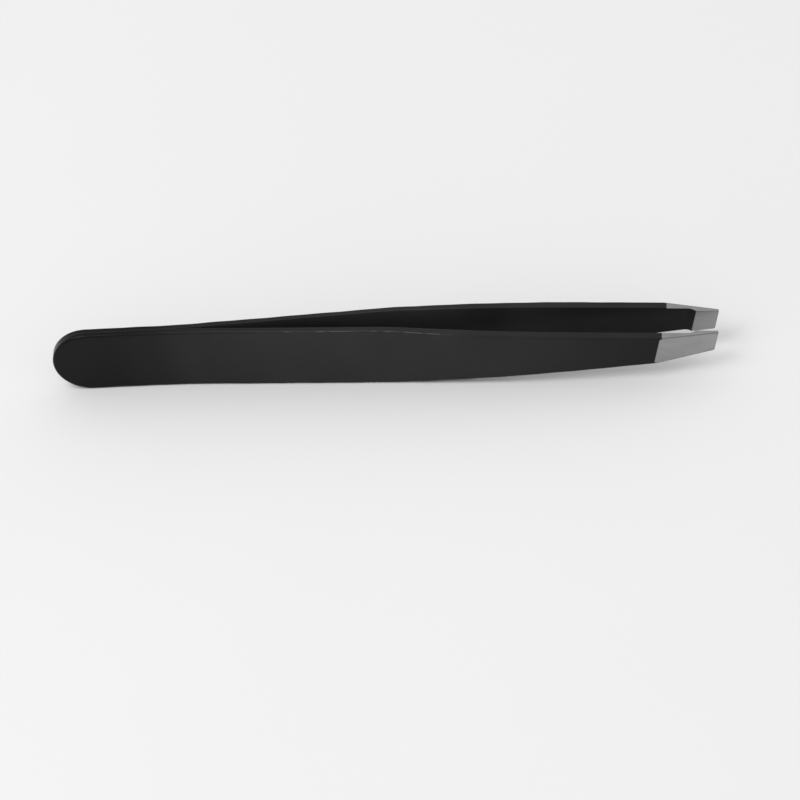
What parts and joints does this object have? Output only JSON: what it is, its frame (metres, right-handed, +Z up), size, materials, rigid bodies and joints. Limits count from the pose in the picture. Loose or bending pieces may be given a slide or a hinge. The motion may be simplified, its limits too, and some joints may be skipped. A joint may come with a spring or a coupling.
{
  "type": "slant tweezers",
  "caption": "Slant tweezers: sprung, coated flat steel arms welded together at a round head, bent parallel, with bare bevelled jaws cut on a slant to grip fine hairs.",
  "frame": {"origin": "middle of the footprint, on the surface that the lower long edges stand on", "axes": "+X along the tweezers from the round head to the tips, +Y from the front arm to the rear arm, across the gap that closes, +Z up across the width of the arms, towards the longer corner of the slanted tips"},
  "size_m": [0.095, 0.0074, 0.0106],
  "materials": {
    "black_coating": "satin black coating on stainless steel",
    "ground_steel": "bare stainless steel, finely ground"
  },
  "bodies": {
    "head": {"front_arm_tail": "black_coating", "rear_arm_tail": "black_coating", "spot_welds": "ground_steel"},
    "front_arm": {"front_arm_blade": "black_coating", "front_jaw": "ground_steel"},
    "rear_arm": {"rear_arm_blade": "black_coating", "rear_jaw": "ground_steel"}
  },
  "joints": [
    {"name": "front_arm_flex", "type": "hinge", "parent": "head", "child": "front_arm", "pos_m": [-0.0215, -0.00042, 0.0053], "axis": [0, 0, 1], "range_deg": [0, 1.58], "stiffness_Nm_per_rad": 4},
    {"name": "rear_arm_flex", "type": "hinge", "parent": "head", "child": "rear_arm", "pos_m": [-0.0215, 0.00042, 0.0053], "axis": [0, 0, 1], "range_deg": [-1.58, 0], "stiffness_Nm_per_rad": 4}
  ],
  "couplings": [
    {"joint": "rear_arm_flex", "follows": "front_arm_flex", "ratio": -1}
  ]
}
